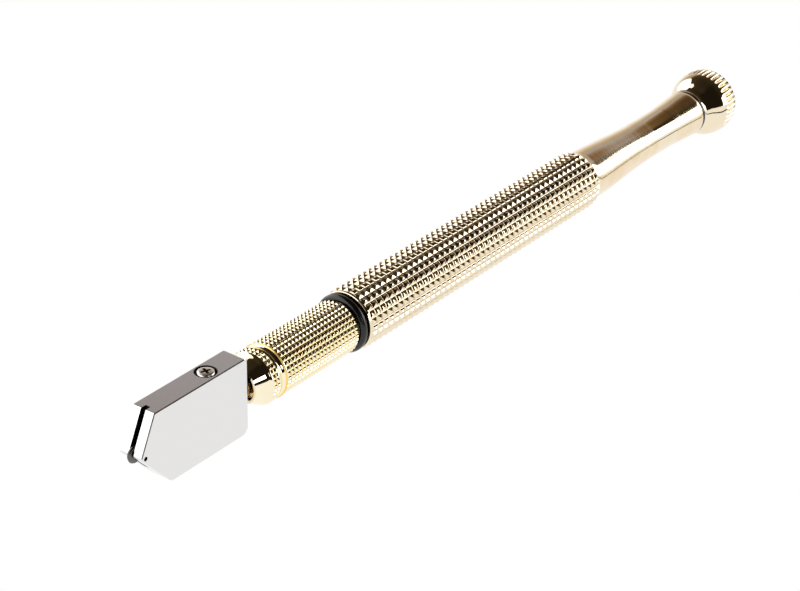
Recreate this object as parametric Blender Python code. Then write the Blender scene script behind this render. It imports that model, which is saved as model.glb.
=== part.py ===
"""An oil-fed pencil glass cutter: a steel cutting head on a sprung stem, a two-part
knurled brass handle that holds the oil, and a screw cap.

The handle's centre line runs along +X, from the head to the cap, and +Z is up.
Stations are millimetres along that line, counted from the rear face of the front grip,
where the black joint ring sits. The row's origin is under the middle of the tool, level
with the lowest edge of the head.
"""

import math

import bmesh
import bpy
from mathutils import Matrix, Vector

MM = 0.001

# Driving dimensions, in millimetres.
BARREL_R = 6.0          # over the knurl of the main barrel
GRIP_R = 0.87 * BARREL_R  # over the knurl of the front grip
CAP_R = 6.85            # widest part of the cap
WALL_GAP = 0.3          # clearance that stands for a thread or a push fit

# Steel head, as an upright plate: stations along the handle and heights above its axis.
HEAD_REAR = -27.35
HEAD_TOP_FRONT = -50.3
HEAD_NOSE = -53.8
HEAD_BOTTOM_FRONT = -46.7
HEAD_TOP = 6.75
HEAD_NOSE_HEIGHT = -0.2
HEAD_BOTTOM = -8.1
HEAD_THICK = 4.9
HEAD_EDGE_BEVEL = 0.15
SLOT_WIDTH = 1.05
SLOT_TOP_END = -49.35
SLOT_BOTTOM_END = -50.6

# Cutting wheel and its axle.
WHEEL_STATION = -52.75
WHEEL_HEIGHT = -0.7
WHEEL_R = 1.65
WHEEL_THICK = 0.75
WHEEL_RIM_DROP = 0.16
AXLE_R = 0.28
AXLE_HOLE_R = 0.36
AXLE_LENGTH = HEAD_THICK - 0.5

# Screw that holds the head on the stem.
SCREW_STATION = -35.1
SCREW_HEAD_R = 1.6
SCREW_HEAD_THICK = 0.95
SCREW_SHANK_R = 0.75
SCREW_TIP = 1.4
COUNTERBORE_R = 1.95
COUNTERBORE_DEPTH = 1.3
DRIVE_DEPTH = 0.6
DRIVE_SPAN = 1.7
DRIVE_WIDTH = 0.36
DRIVE_TURN = -22.0      # degrees, where the screw happened to stop

# Stem: the hollow brass shaft that carries the head and feeds it with oil.
STEM_FRONT = -41.0
STEM_R = 1.45
STEM_BORE_R = 0.55
STEM_NECK_R = 1.05
STEM_NECK_HALF_WIDTH = 0.95
FLANGE_FRONT = -26.95
FLANGE_REAR = -26.35
FLANGE_R = 2.3
STEM_STEP = -12.9
STEM_ROD_R = 1.0
STEM_TIP = -1.8
CLIP_STATION = -14.5
CLIP_THICK = 0.5
CLIP_R = 2.7
WASHER_FRONT = -13.95
WASHER_REAR = -13.45

# Front grip: nose cone, narrow knurled collar, groove, bead, knurled grip and threaded tail.
LIP = -26.55
LIP_R = 3.42
GRIP_BORE_R = 3.0
COLLAR_FRONT = -23.2
COLLAR_REAR = -21.75
BEAD = -20.1
GRIP_FRONT = -19.85
GRIP_REAR = 0.0
NECK_R = 3.8
SPIGOT_R = 4.1
SPIGOT_REAR = 8.0
BUSH_FRONT = -25.4
BUSH_REAR = -15.5
BUSH_R = 2.75
SEAL_POCKET = -16.9
SEAL_POCKET_R = 2.35

# Oil valve in the tail of the front grip.
SEAT_FRONT = -4.4
SEAT_REAR = -1.2
SEAT_HOLE_R = 1.3
VALVE_PLUG_R = GRIP_BORE_R - WALL_GAP
BALL_STATION = 0.25
BALL_R = 1.75
RETAINER_FRONT = 6.1
RETAINER_REAR = 7.6
RETAINER_HOLE_R = 0.8

# Black ring between the grip and the barrel.
RING_STATION = 1.2
RING_R = 4.83
RING_SECTION_R = 0.82

# Main barrel and its waisted tail.
BARREL_FRONT = 2.35
KNURL_END = 73.5
SHOULDER_END = 77.0
WAIST_FRONT = 95.5
WAIST_REAR = 103.0
WAIST_R = 4.18
BARREL_REAR = 116.9
SOCKET_R = SPIGOT_R + 0.35
RESERVOIR_FRONT = 10.0
RESERVOIR_REAR = 78.5
RESERVOIR_R = 4.0
TAIL_BORE_R = 3.2

# Screw cap and its gasket.
GASKET_FRONT = 117.05
GASKET_REAR = 117.5
GASKET_R = 4.35
CAP_FRONT = 117.7
CAP_WIDEST = 124.6
CAP_REAR = 127.8
CAP_SPIGOT_FRONT = 111.2
CAP_SPIGOT_R = 2.85
FLUTES = 36
FLUTE_FRONT = 122.9
FLUTE_REAR = 127.3
FLUTE_DEPTH = 0.35

# Where the handle's centre line lies in the row frame.
MIDDLE = (WHEEL_STATION - WHEEL_R + CAP_REAR) / 2
AXIS_HEIGHT = -HEAD_BOTTOM

# Numbers of facets round the turned pieces.
LARGE = 36
MEDIUM = 24
SMALL = 16

STEEL = ((0.76, 0.76, 0.75), 0.32, 1.0)
BRIGHT_STEEL = ((0.70, 0.69, 0.67), 0.22, 1.0)
CARBIDE = ((0.30, 0.29, 0.28), 0.35, 1.0)
YELLOW_GOLD = ((0.93, 0.72, 0.33), 0.16, 1.0)
PALE_GOLD = ((0.88, 0.74, 0.50), 0.18, 1.0)
BRASS = ((0.80, 0.60, 0.28), 0.3, 1.0)
BLACK_RUBBER = ((0.02, 0.02, 0.022), 0.45, 0.0)
FELT = ((0.82, 0.78, 0.68), 0.95, 0.0)


def clear_scene():
    for obj in list(bpy.data.objects):
        bpy.data.objects.remove(obj)


def add_material(name, finish):
    colour, roughness, metallic = finish
    material = bpy.data.materials.new(name)
    material.use_nodes = True
    shader = material.node_tree.nodes["Principled BSDF"]
    shader.inputs["Base Color"].default_value = (*colour, 1.0)
    shader.inputs["Roughness"].default_value = roughness
    shader.inputs["Metallic"].default_value = metallic
    material.diffuse_color = (*colour, 1.0)
    return material


def add_pivot(name, parent, station=0.0, height=0.0):
    """An empty at a station along the handle's axis; moving pieces hang on it."""
    pivot = bpy.data.objects.new(name, None)
    bpy.context.scene.collection.objects.link(pivot)
    pivot.parent = parent
    pivot.location = (station * MM, 0.0, height * MM)
    return pivot


def finish_object(name, bm, finish, parent, smooth_angle=35.0):
    """Turns a bmesh in millimetres, placed relative to its parent, into a shaded object."""
    bmesh.ops.scale(bm, vec=Vector((MM, MM, MM)), verts=bm.verts)
    bmesh.ops.recalc_face_normals(bm, faces=bm.faces)
    mesh = bpy.data.meshes.new(name)
    bm.to_mesh(mesh)
    bm.free()
    mesh.materials.append(add_material(name, finish))
    mesh.shade_smooth()
    mesh.set_sharp_from_angle(angle=math.radians(smooth_angle))
    obj = bpy.data.objects.new(name, mesh)
    bpy.context.scene.collection.objects.link(obj)
    obj.parent = parent
    return obj


def spin_profile(profile, facets, closed):
    """A bmesh turned about X from (station, radius) points; closed joins the last to the first."""
    bm = bmesh.new()
    verts = [bm.verts.new((x, 0.0, r)) for x, r in profile]
    pairs = list(zip(verts, verts[1:]))
    if closed:
        pairs.append((verts[-1], verts[0]))
    edges = [bm.edges.new(pair) for pair in pairs]
    bmesh.ops.spin(
        bm, geom=verts + edges, cent=(0, 0, 0), axis=(1, 0, 0), angle=2 * math.pi, steps=facets
    )
    bmesh.ops.remove_doubles(bm, verts=bm.verts, dist=1e-4)
    return bm


def turned(name, finish, parent, profile, facets=MEDIUM, closed=True, turn=None):
    """A turned piece on the X axis, or on the axis that the matrix turn carries X to."""
    bm = spin_profile(profile, facets, closed)
    if turn is not None:
        bmesh.ops.transform(bm, matrix=turn, verts=bm.verts)
    return finish_object(name, bm, finish, parent)


def tube_profile(front, rear, inner_r, outer_r, chamfer=0.1):
    """A plain ring or bush with a small chamfer on its outer edges."""
    return [
        (front, inner_r),
        (front, outer_r - chamfer),
        (front + chamfer, outer_r),
        (rear - chamfer, outer_r),
        (rear, outer_r - chamfer),
        (rear, inner_r),
    ]


def rod_profile(front, rear, radius, chamfer=0.1):
    """A plain solid rod with chamfered ends."""
    return [
        (front, 0.0),
        (front, radius - chamfer),
        (front + chamfer, radius),
        (rear - chamfer, radius),
        (rear, radius - chamfer),
        (rear, 0.0),
    ]


def ring_section(station, ring_r, section_r, steps=10):
    """The round cross-section of a rubber ring."""
    angles = [2 * math.pi * k / steps for k in range(steps)]
    return [(station + section_r * math.cos(a), ring_r + section_r * math.sin(a)) for a in angles]


def eased(start, end, steps):
    """Points from start to end whose radius leaves and arrives level, ends included."""
    points = []
    for k in range(steps + 1):
        t = k / steps
        lift = (1 - math.cos(math.pi * t)) / 2
        points.append((start[0] + (end[0] - start[0]) * t, start[1] + (end[1] - start[1]) * lift))
    return points


def coil(name, finish, parent, front, rear, mean_r, wire_r, turns):
    """A compression spring whose end turns lie almost closed."""
    per_turn = 14
    total = turns * per_turn
    end_turn = 2.2 * wire_r
    first, last = front + wire_r, rear - wire_r
    pitch = (last - first - 2 * end_turn) / (turns - 2)
    curve = bpy.data.curves.new(name, "CURVE")
    curve.dimensions = "3D"
    curve.bevel_depth = wire_r * MM
    curve.bevel_resolution = 1
    curve.use_fill_caps = True
    curve.materials.append(add_material(name, finish))
    spline = curve.splines.new("POLY")
    spline.points.add(total)
    for k, point in enumerate(spline.points):
        turn = k / per_turn
        rise = end_turn * min(turn, 1.0)
        rise += pitch * min(max(turn - 1.0, 0.0), turns - 2)
        rise += end_turn * max(turn - (turns - 1), 0.0)
        angle = 2 * math.pi * turn
        point.co = (
            (first + rise) * MM,
            mean_r * math.cos(angle) * MM,
            mean_r * math.sin(angle) * MM,
            1.0,
        )
    obj = bpy.data.objects.new(name, curve)
    bpy.context.scene.collection.objects.link(obj)
    obj.parent = parent
    return obj


def as_cutter(obj, target):
    """Hides obj and cuts it out of target."""
    obj.hide_render = True
    obj.display_type = "WIRE"
    cut = target.modifiers.new(obj.name, "BOOLEAN")
    cut.operation = "DIFFERENCE"
    cut.object = obj


def rounded_outline(corners, steps=5):
    """The (x, z) outline of a polygon whose corners, (x, z, radius), are arcs."""
    outline = []
    count = len(corners)
    for k, (x, z, radius) in enumerate(corners):
        corner = Vector((x, z))
        before = (Vector(corners[k - 1][:2]) - corner).normalized()
        after = (Vector(corners[(k + 1) % count][:2]) - corner).normalized()
        half_angle = before.angle(after) / 2
        reach = radius / math.tan(half_angle)
        centre = corner + (before + after).normalized() * radius / math.sin(half_angle)
        start = corner + before * reach - centre
        sweep = start.angle_signed(corner + after * reach - centre)
        for step in range(steps + 1):
            spoke = start.copy()
            spoke.rotate(Matrix.Rotation(-sweep * step / steps, 2))
            outline.append(centre + spoke)
    return outline


def plate(outline, thickness):
    """A bmesh plate, extruded along Y about its middle plane from an (x, z) outline."""
    bm = bmesh.new()
    verts = [bm.verts.new((x, -thickness / 2, z)) for x, z in outline]
    face = bm.faces.new(verts)
    extruded = bmesh.ops.extrude_face_region(bm, geom=[face])["geom"]
    moved = [item for item in extruded if isinstance(item, bmesh.types.BMVert)]
    bmesh.ops.translate(bm, verts=moved, vec=(0.0, thickness, 0.0))
    return bm


def build_head(pivot):
    corners = [
        (HEAD_REAR, HEAD_TOP, 0.8),
        (HEAD_REAR, HEAD_BOTTOM, 1.7),
        (HEAD_BOTTOM_FRONT, HEAD_BOTTOM, 1.3),
        (HEAD_NOSE, HEAD_NOSE_HEIGHT, 0.7),
        (HEAD_TOP_FRONT, HEAD_TOP, 0.35),
    ]
    head = finish_object(
        "head_block", plate(rounded_outline(corners), HEAD_THICK), STEEL, pivot, 20.0
    )
    bevel = head.modifiers.new("edges", "BEVEL")
    bevel.width = HEAD_EDGE_BEVEL * MM
    bevel.segments = 1
    bevel.limit_method = "ANGLE"
    bevel.angle_limit = math.radians(60)

    slot_corners = [
        (SLOT_TOP_END, HEAD_TOP + 2),
        (SLOT_BOTTOM_END, HEAD_NOSE_HEIGHT - 6),
        (HEAD_NOSE - 4, HEAD_NOSE_HEIGHT - 6),
        (HEAD_NOSE - 4, HEAD_TOP + 2),
    ]
    as_cutter(finish_object("cut_slot", plate(slot_corners, SLOT_WIDTH), STEEL, pivot), head)

    bore = [
        (HEAD_REAR + 2, 0.0),
        (HEAD_REAR + 2, STEM_R + WALL_GAP),
        (STEM_FRONT - 0.6, STEM_R + WALL_GAP),
        (STEM_FRONT - 1.2, STEM_BORE_R),
        (SLOT_BOTTOM_END - 0.4, STEM_BORE_R),
        (SLOT_BOTTOM_END - 0.4, 0.0),
    ]
    as_cutter(turned("cut_bore", STEEL, pivot, bore, SMALL, closed=False), head)

    upright = Matrix.Translation((SCREW_STATION, 0, 0)) @ Matrix.Rotation(-math.pi / 2, 4, "Y")
    screw_hole = [
        (0.0, 0.0),
        (0.0, SCREW_SHANK_R + 0.2),
        (HEAD_TOP - COUNTERBORE_DEPTH, SCREW_SHANK_R + 0.2),
        (HEAD_TOP - COUNTERBORE_DEPTH, COUNTERBORE_R),
        (HEAD_TOP + 1, COUNTERBORE_R),
        (HEAD_TOP + 1, 0.0),
    ]
    cutter = turned("cut_screw_hole", STEEL, pivot, screw_hole, MEDIUM, closed=False, turn=upright)
    as_cutter(cutter, head)

    across = Matrix.Translation((WHEEL_STATION, 0, WHEEL_HEIGHT)) @ Matrix.Rotation(
        math.pi / 2, 4, "Z"
    )
    axle_hole = rod_profile(-HEAD_THICK, HEAD_THICK, AXLE_HOLE_R)
    cutter = turned("cut_axle_hole", STEEL, pivot, axle_hole, SMALL, closed=False, turn=across)
    as_cutter(cutter, head)


def build_wheel(head_pivot, wheel_pivot):
    across = Matrix.Rotation(math.pi / 2, 4, "Z")
    half = WHEEL_THICK / 2
    rim = WHEEL_R - WHEEL_RIM_DROP
    hub_r = AXLE_R + 0.08
    profile = [(-half, hub_r), (-half, rim), (0.0, WHEEL_R), (half, rim), (half, hub_r)]
    turned("cutting_wheel", CARBIDE, wheel_pivot, profile, LARGE, turn=across)
    to_axle = Matrix.Translation((WHEEL_STATION, 0, WHEEL_HEIGHT)) @ across
    axle = rod_profile(-AXLE_LENGTH / 2, AXLE_LENGTH / 2, AXLE_R, 0.05)
    turned("wheel_axle", BRIGHT_STEEL, head_pivot, axle, SMALL, closed=False, turn=to_axle)


def build_screw(pivot):
    top = HEAD_TOP - 0.15
    under = top - SCREW_HEAD_THICK
    profile = [
        (SCREW_TIP, 0.0),
        (SCREW_TIP, SCREW_SHANK_R - 0.15),
        (SCREW_TIP + 0.15, SCREW_SHANK_R),
        (under, SCREW_SHANK_R),
        (under, SCREW_HEAD_R),
        (top - 0.35, SCREW_HEAD_R),
        (top - 0.1, SCREW_HEAD_R - 0.2),
        (top, SCREW_HEAD_R - 0.6),
        (top, 0.0),
    ]
    upright = Matrix.Translation((SCREW_STATION, 0, 0)) @ Matrix.Rotation(-math.pi / 2, 4, "Y")
    screw = turned("head_screw", BRIGHT_STEEL, pivot, profile, MEDIUM, closed=False, turn=upright)
    for index in range(2):
        bm = bmesh.new()
        bmesh.ops.create_cube(bm, size=1.0)
        wing = Vector((DRIVE_SPAN, DRIVE_WIDTH, 2 * DRIVE_DEPTH))
        bmesh.ops.scale(bm, vec=wing, verts=bm.verts)
        angle = math.radians(DRIVE_TURN + 90 * index)
        place = Matrix.Translation((SCREW_STATION, 0, top)) @ Matrix.Rotation(angle, 4, "Z")
        bmesh.ops.transform(bm, matrix=place, verts=bm.verts)
        as_cutter(finish_object(f"cut_drive_{index}", bm, BRIGHT_STEEL, pivot), screw)


def build_stem(pivot):
    neck_front = SCREW_STATION - STEM_NECK_HALF_WIDTH
    neck_rear = SCREW_STATION + STEM_NECK_HALF_WIDTH
    clip_groove = CLIP_THICK / 2 + 0.15
    stem = [
        (STEM_FRONT, STEM_BORE_R),
        (STEM_FRONT, STEM_R - 0.2),
        (STEM_FRONT + 0.2, STEM_R),
        (neck_front, STEM_R),
        (neck_front, STEM_NECK_R),
        (neck_rear, STEM_NECK_R),
        (neck_rear, STEM_R),
        (FLANGE_FRONT, STEM_R),
        (FLANGE_FRONT, FLANGE_R),
        (FLANGE_REAR, FLANGE_R),
        (FLANGE_REAR, STEM_R),
        (CLIP_STATION - clip_groove, STEM_R),
        (CLIP_STATION - clip_groove, STEM_NECK_R),
        (CLIP_STATION + clip_groove, STEM_NECK_R),
        (CLIP_STATION + clip_groove, STEM_R),
        (STEM_STEP, STEM_R),
        (STEM_STEP, STEM_ROD_R),
        (STEM_TIP - 0.2, STEM_ROD_R),
        (STEM_TIP, STEM_ROD_R - 0.2),
        (STEM_TIP, STEM_BORE_R),
    ]
    turned("stem", BRASS, pivot, stem, SMALL)
    clip_front = CLIP_STATION - CLIP_THICK / 2
    clip = tube_profile(clip_front, clip_front + CLIP_THICK, STEM_NECK_R + 0.15, CLIP_R, 0.08)
    turned("stem_clip", BRIGHT_STEEL, pivot, clip, SMALL)
    washer = tube_profile(WASHER_FRONT, WASHER_REAR, STEM_R + 0.2, CLIP_R, 0.08)
    turned("stem_washer", BRIGHT_STEEL, pivot, washer, SMALL)
    wick = rod_profile(SLOT_BOTTOM_END + 1.2, STEM_STEP - 1, STEM_BORE_R - 0.2, 0.08)
    turned("oil_wick", FELT, pivot, wick, 8, closed=False)


def build_front_grip(pivot):
    cone = [(LIP, GRIP_BORE_R), (LIP, LIP_R - 0.12), (LIP + 0.12, LIP_R)]
    cone += [(LIP + 2.55, 4.62), (LIP + 3.0, 4.95), (COLLAR_FRONT, GRIP_R - 0.05)]
    collar = [(COLLAR_FRONT + 0.1, GRIP_R), (COLLAR_REAR, GRIP_R)]
    groove = [(COLLAR_REAR + 0.15, GRIP_R - 0.25), (COLLAR_REAR + 0.6, GRIP_R - 0.42)]
    groove += [(BEAD - 0.55, GRIP_R - 0.42), (BEAD - 0.2, GRIP_R - 0.2)]
    bead = [(BEAD - 0.12, GRIP_R - 0.02), (BEAD + 0.12, GRIP_R - 0.02)]
    grip = [(GRIP_FRONT + 0.1, GRIP_R), (GRIP_REAR - 0.3, GRIP_R), (GRIP_REAR, GRIP_R - 0.3)]
    tail = [
        (GRIP_REAR, NECK_R),
        (BARREL_FRONT, NECK_R),
        (BARREL_FRONT + 0.3, SPIGOT_R),
        (SPIGOT_REAR - 0.3, SPIGOT_R),
        (SPIGOT_REAR, SPIGOT_R - 0.3),
        (SPIGOT_REAR, GRIP_BORE_R),
    ]
    turned("front_grip", YELLOW_GOLD, pivot, cone + collar + groove + bead + grip + tail, LARGE)


def build_guide(pivot):
    bush = [
        (BUSH_FRONT, STEM_R + WALL_GAP),
        (BUSH_FRONT, BUSH_R - 0.15),
        (BUSH_FRONT + 0.15, BUSH_R),
        (BUSH_REAR, BUSH_R),
        (BUSH_REAR, SEAL_POCKET_R),
        (SEAL_POCKET, SEAL_POCKET_R),
        (SEAL_POCKET, STEM_R + WALL_GAP),
    ]
    turned("guide_bush", BRASS, pivot, bush, MEDIUM)
    middle = (SEAL_POCKET + BUSH_REAR) / 2
    section_r = 0.32
    seal = ring_section(middle, (STEM_R + SEAL_POCKET_R) / 2, section_r, 8)
    turned("stem_seal_ring", BLACK_RUBBER, pivot, seal, SMALL)


def build_valve(handle, valve_pivot):
    seat = tube_profile(SEAT_FRONT, SEAT_REAR, SEAT_HOLE_R, VALVE_PLUG_R)
    turned("valve_seat", BRASS, handle, seat, MEDIUM)
    ball_steps = 10
    angles = [math.pi * k / ball_steps for k in range(ball_steps + 1)]
    ball = [(-BALL_R * math.cos(a), BALL_R * math.sin(a)) for a in angles]
    turned("valve_ball", BRIGHT_STEEL, valve_pivot, ball, SMALL, closed=False)
    retainer = tube_profile(RETAINER_FRONT, RETAINER_REAR, RETAINER_HOLE_R, VALVE_PLUG_R)
    turned("spring_retainer", BRASS, handle, retainer, MEDIUM)
    coil(
        "valve_spring", BRIGHT_STEEL, handle,
        BALL_STATION + BALL_R + 0.3, RETAINER_FRONT - WALL_GAP, 1.3, 0.17, 5,
    )
    coil(
        "stem_spring", BRIGHT_STEEL, handle,
        WASHER_REAR + WALL_GAP, SEAT_FRONT - WALL_GAP, 2.3, 0.27, 7,
    )


def build_barrel(pivot):
    front = [
        (BARREL_FRONT, SOCKET_R),
        (BARREL_FRONT, BARREL_R - 0.35),
        (BARREL_FRONT + 0.35, BARREL_R - 0.05),
        (BARREL_FRONT + 0.6, BARREL_R),
    ]
    shoulder_drop = 0.75
    shoulder = []
    for step in range(5):
        angle = math.pi / 2 * step / 4
        station = KNURL_END + (SHOULDER_END - KNURL_END) * math.sin(angle)
        shoulder.append((station, BARREL_R - shoulder_drop * (1 - math.cos(angle))))
    tail = [(SHOULDER_END + 0.05, BARREL_R - shoulder_drop - 0.08)]
    tail += [(83.0, 4.98), (89.0, 4.62), (WAIST_FRONT, WAIST_R), (WAIST_REAR, WAIST_R + 0.05)]
    tail += [(109.0, 4.5), (BARREL_REAR - 0.3, 4.78), (BARREL_REAR, 4.6)]
    inside = [
        (BARREL_REAR, TAIL_BORE_R),
        (RESERVOIR_REAR + 1.5, TAIL_BORE_R),
        (RESERVOIR_REAR, RESERVOIR_R),
        (RESERVOIR_FRONT, RESERVOIR_R),
        (RESERVOIR_FRONT, SOCKET_R),
    ]
    turned("barrel", PALE_GOLD, pivot, front + shoulder + tail + inside, LARGE)


def build_joint_ring(pivot):
    section = ring_section(RING_STATION, RING_R, RING_SECTION_R)
    turned("grip_ring", BLACK_RUBBER, pivot, section, LARGE)


def build_cap(slide_pivot, cap_pivot):
    gasket = tube_profile(GASKET_FRONT, GASKET_REAR, CAP_SPIGOT_R + 0.2, GASKET_R, 0.08)
    turned("cap_gasket", BLACK_RUBBER, slide_pivot, gasket, MEDIUM)
    neck_r = 4.6
    spigot = [
        (CAP_SPIGOT_FRONT, 0.0),
        (CAP_SPIGOT_FRONT, CAP_SPIGOT_R - 0.3),
        (CAP_SPIGOT_FRONT + 0.3, CAP_SPIGOT_R),
        (CAP_FRONT, CAP_SPIGOT_R),
        (CAP_FRONT, neck_r - 0.15),
    ]
    flare = eased((CAP_FRONT + 0.4, neck_r), (FLUTE_FRONT, CAP_R - 0.12), 6)
    rim = [
        (CAP_WIDEST, CAP_R),
        (CAP_REAR - 1.5, CAP_R - 0.12),
        (CAP_REAR - 0.5, CAP_R - 0.6),
        (CAP_REAR, CAP_R - 1.2),
        (CAP_REAR, 0.0),
    ]
    bm = spin_profile(spigot + flare + rim, 2 * FLUTES, closed=False)
    for vert in bm.verts:
        angle = math.atan2(vert.co.z, vert.co.y)
        facet = round(angle / (math.pi / FLUTES))
        radius = math.hypot(vert.co.y, vert.co.z)
        if facet % 2 and FLUTE_FRONT < vert.co.x < FLUTE_REAR + 0.1 and radius > CAP_R - 1.0:
            shrink = (radius - FLUTE_DEPTH) / radius
            vert.co.y *= shrink
            vert.co.z *= shrink
    finish_object("cap", bm, PALE_GOLD, cap_pivot)


def build():
    clear_scene()
    handle = add_pivot("handle_frame", None)
    handle.location = (-MIDDLE * MM, 0.0, AXIS_HEIGHT * MM)
    stem_pivot = add_pivot("stem_frame", handle)
    head_pivot = add_pivot("head_frame", stem_pivot)
    wheel_pivot = add_pivot("wheel_frame", head_pivot, WHEEL_STATION, WHEEL_HEIGHT)
    valve_pivot = add_pivot("valve_frame", handle, BALL_STATION)
    cap_slide_pivot = add_pivot("cap_slide_frame", handle)
    cap_pivot = add_pivot("cap_frame", cap_slide_pivot)

    build_head(head_pivot)
    build_wheel(head_pivot, wheel_pivot)
    build_screw(head_pivot)
    build_stem(stem_pivot)
    build_front_grip(handle)
    build_guide(handle)
    build_valve(handle, valve_pivot)
    build_joint_ring(handle)
    build_barrel(handle)
    build_cap(cap_slide_pivot, cap_pivot)


build()
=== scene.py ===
"""Visual model of an oil-fed pencil glass cutter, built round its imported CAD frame.

Lengths are in millimetres until a piece is finished. Stations run along the handle's centre
line, counted from the rear face of the front grip and negative towards the cutting head.
Heights are above that centre line.
"""

import math

import bmesh
import bpy
from mathutils import Matrix, Vector


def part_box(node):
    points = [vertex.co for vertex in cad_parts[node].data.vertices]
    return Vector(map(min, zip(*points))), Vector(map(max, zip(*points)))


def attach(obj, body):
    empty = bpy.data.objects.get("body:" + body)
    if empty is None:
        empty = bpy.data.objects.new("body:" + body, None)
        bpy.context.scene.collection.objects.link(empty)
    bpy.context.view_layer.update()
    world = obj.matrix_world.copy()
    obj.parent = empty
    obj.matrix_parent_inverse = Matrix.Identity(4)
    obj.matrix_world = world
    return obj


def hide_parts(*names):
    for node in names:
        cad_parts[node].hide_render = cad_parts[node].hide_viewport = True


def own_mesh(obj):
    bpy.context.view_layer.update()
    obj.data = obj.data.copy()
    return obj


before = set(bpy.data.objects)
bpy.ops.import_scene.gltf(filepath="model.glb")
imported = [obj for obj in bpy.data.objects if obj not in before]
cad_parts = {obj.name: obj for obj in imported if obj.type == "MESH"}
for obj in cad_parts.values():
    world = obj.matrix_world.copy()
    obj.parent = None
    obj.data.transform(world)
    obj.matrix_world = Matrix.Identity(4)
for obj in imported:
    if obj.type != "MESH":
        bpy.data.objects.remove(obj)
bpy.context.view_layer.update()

MM = 0.001
SPIGOT_REAR = 8.0       # the front grip's threaded tail, which ties the stations to the frame
GRIP_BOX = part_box("front_grip")
ZERO = Vector((GRIP_BOX[1].x - SPIGOT_REAR * MM, 0.0, (GRIP_BOX[0].z + GRIP_BOX[1].z) / 2))
TO_ROW = Matrix.Translation(ZERO) @ Matrix.Diagonal((MM, MM, MM, 1.0))
FULL_TURN = 2 * math.pi


def cad_corners(node):
    """A CAD node's lowest and highest corners as (station, side, height)."""
    low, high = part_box(node)
    return (low - ZERO) / MM, (high - ZERO) / MM


def cad_stations(node):
    low, high = cad_corners(node)
    return low.x, high.x


def cad_radius(node):
    low, high = cad_corners(node)
    return (high.z - low.z) / 2


def cad_centre(node):
    low, high = cad_corners(node)
    return (low + high) / 2


# Front grip, with 20 rows of 34 pyramids, and the narrow knurled collar in front of it.
LIP, _ = cad_stations("front_grip")
GRIP_R = cad_radius("front_grip")
GRIP_BORE_R = 3.0
LIP_R = GRIP_R - 1.8
COLLAR_FRONT = LIP + 3.1
COLLAR_REAR = LIP + 4.8
BEAD = LIP + 6.45
GRIP_KNURL_FRONT = LIP + 6.75
GRIP_ROWS = 20
COLLAR_ROWS = 2
GRIP_AROUND = 34
FACETS_PER_GRIP_TOOTH = 4
GRIP_KNURL_DEPTH = 0.26
NECK_R = 3.8
SPIGOT_R = 4.1
SPIGOT_EDGE = 0.3
NOSE_EDGE = 0.1
GRIP_KNURL_REAR = -0.22
BEAD_SECTION_R = 0.16

# Barrel, with 47 rows of 26 pyramids, a rounded shoulder and a waisted tail.
BARREL_FRONT, BARREL_REAR = cad_stations("barrel")
BARREL_R = cad_radius("barrel")
BARREL_ROWS = 47
BARREL_AROUND = 26
FACETS_PER_BARREL_TOOTH = 6
BARREL_KNURL_DEPTH = 0.37
BARREL_KNURL_FRONT = BARREL_FRONT + 0.5
SHOULDER_START = BARREL_FRONT + 71.15
SHOULDER_END = SHOULDER_START + 3.5
SHOULDER_DROP = 0.75
WAIST_FRONT = SHOULDER_END + 23.0
WAIST_REAR = WAIST_FRONT + 7.3
WAIST_R = 4.18
TAIL_R = BARREL_R - 0.83
KNURL_END_GAP = 0.7
SOCKET_R = SPIGOT_R + 0.35
RESERVOIR_R = 4.0
TAIL_BORE_R = 3.2
GROOVE = 0.25           # share of a pitch that the rounded bottom of a groove takes
BULGE = 0.3             # how far a pyramid's shading leans out at its foot and in at its tip

# Screw cap with 36 rounded ribs.
CAP_SPIGOT_FRONT, CAP_REAR = cad_stations("cap")
CAP_R = cad_radius("cap")
CAP_FRONT = CAP_REAR - 9.95
CAP_NECK_R = 4.3
CAP_SPIGOT_R = 2.85
RIBS = 36
RIB_FRONT = CAP_REAR - 4.6
RIB_REAR = CAP_REAR - 0.45
RIB_DEPTH = 0.6
RIB_RISE = 0.9          # length of a rib's sloping front end
FACETS_PER_RIB = 8

# Steel head: an upright plate with rounded corners and a slot for the wheel.
HEAD_LOW, HEAD_HIGH = cad_corners("head_block")
HEAD_REAR = HEAD_HIGH.x
HEAD_TOP_FRONT = HEAD_REAR - 22.95
HEAD_NOSE = HEAD_REAR - 26.45
HEAD_BOTTOM_FRONT = HEAD_REAR - 19.35
HEAD_NOSE_HEIGHT = -0.6
HEAD_THICK = HEAD_HIGH.y - HEAD_LOW.y
HEAD_EDGE = 0.17
SLOT_WIDTH = 1.05
SLOT_TOP_END = HEAD_TOP_FRONT + 1.4
SLOT_BOTTOM_END = HEAD_TOP_FRONT - 0.3

WHEEL = cad_centre("cutting_wheel")
WHEEL_R = cad_radius("cutting_wheel")
WHEEL_HALF = 0.375
AXLE_R = cad_radius("wheel_axle")
AXLE_HALF = cad_corners("wheel_axle")[1].y
AXLE_HOLE_R = AXLE_R + 0.13

SCREW = cad_centre("head_screw")
SCREW_LOW, SCREW_HIGH = cad_corners("head_screw")
SCREW_HEAD_R = (SCREW_HIGH.x - SCREW_LOW.x) / 2
SCREW_SHANK_R = 0.75
COUNTERBORE_R = 1.95
COUNTERBORE_DEPTH = 1.3
DRIVE_TURN = -22.0      # degrees
SCREW_RISE = 0.3        # how far the screw's head stands over the CAD screw's
SCREW_HEAD_THICK = 0.95
CROSS_TOP = (0.2, 1.12, 0.29)       # height over the screw's top, half length, half width
CROSS_BOTTOM = (-0.7, 0.36, 0.12)

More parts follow.
